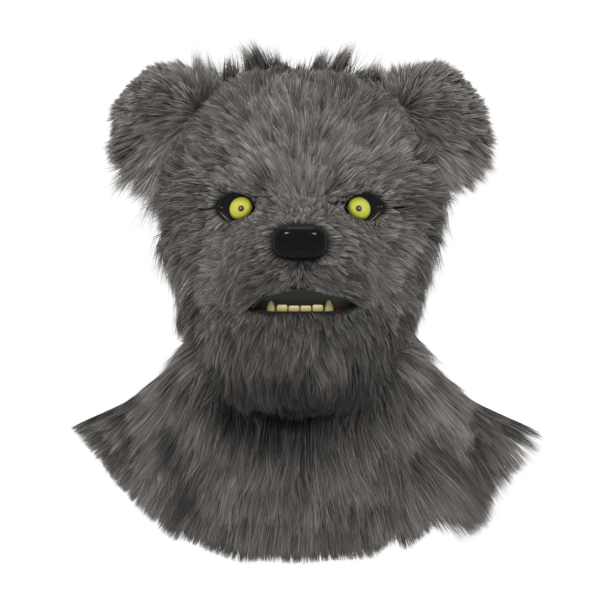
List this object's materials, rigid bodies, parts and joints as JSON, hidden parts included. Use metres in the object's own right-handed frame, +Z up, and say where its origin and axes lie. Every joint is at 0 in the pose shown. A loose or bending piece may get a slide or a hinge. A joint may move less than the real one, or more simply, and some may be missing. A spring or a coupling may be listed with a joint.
{
  "type": "bear mask",
  "caption": "Full-head faux fur bear mask with round ears, yellow eyes, glossy nose, open mouth with lower teeth and a shoulder cape.",
  "frame": {"origin": "inside of the hood's crown, where the top of the wearer's head touches it", "axes": "+Z up along the wearer's height, the face looks along -Y, +X to the wearer's left"},
  "size_m": [0.3984, 0.2985, 0.4343],
  "materials": {
    "grey_fur": "long-haired warm grey faux fur with darker roots and lighter tips",
    "backing_cloth": "dark knitted backing of the fur",
    "mouth_cloth": "dark grey-green matte lining of the mouth",
    "black_gloss": "glossy black moulded plastic",
    "yellow_eye": "translucent lime-yellow dome, olive at its rim",
    "red_gum": "satin dark red moulded gum",
    "tooth_ivory": "satin ivory-yellow moulded teeth, darker at the gum"
  },
  "bodies": {
    "root": {"head_backing": "backing_cloth", "cape_backing": "backing_cloth", "head_fur": "grey_fur", "jaw_fur": "grey_fur", "cape_fur": "grey_fur", "ear_left": "grey_fur", "ear_right": "grey_fur", "eye_socket_left": "black_gloss", "eye_socket_right": "black_gloss", "eye_left": "yellow_eye", "eye_right": "yellow_eye", "pupil_left": "black_gloss", "pupil_right": "black_gloss", "nose": "black_gloss", "mouth_lining": "mouth_cloth", "lower_gum": "red_gum", "canine_left": "tooth_ivory", "incisor_1": "tooth_ivory", "incisor_2": "tooth_ivory", "incisor_3": "tooth_ivory", "incisor_4": "tooth_ivory", "canine_right": "tooth_ivory"}
  },
  "joints": []
}
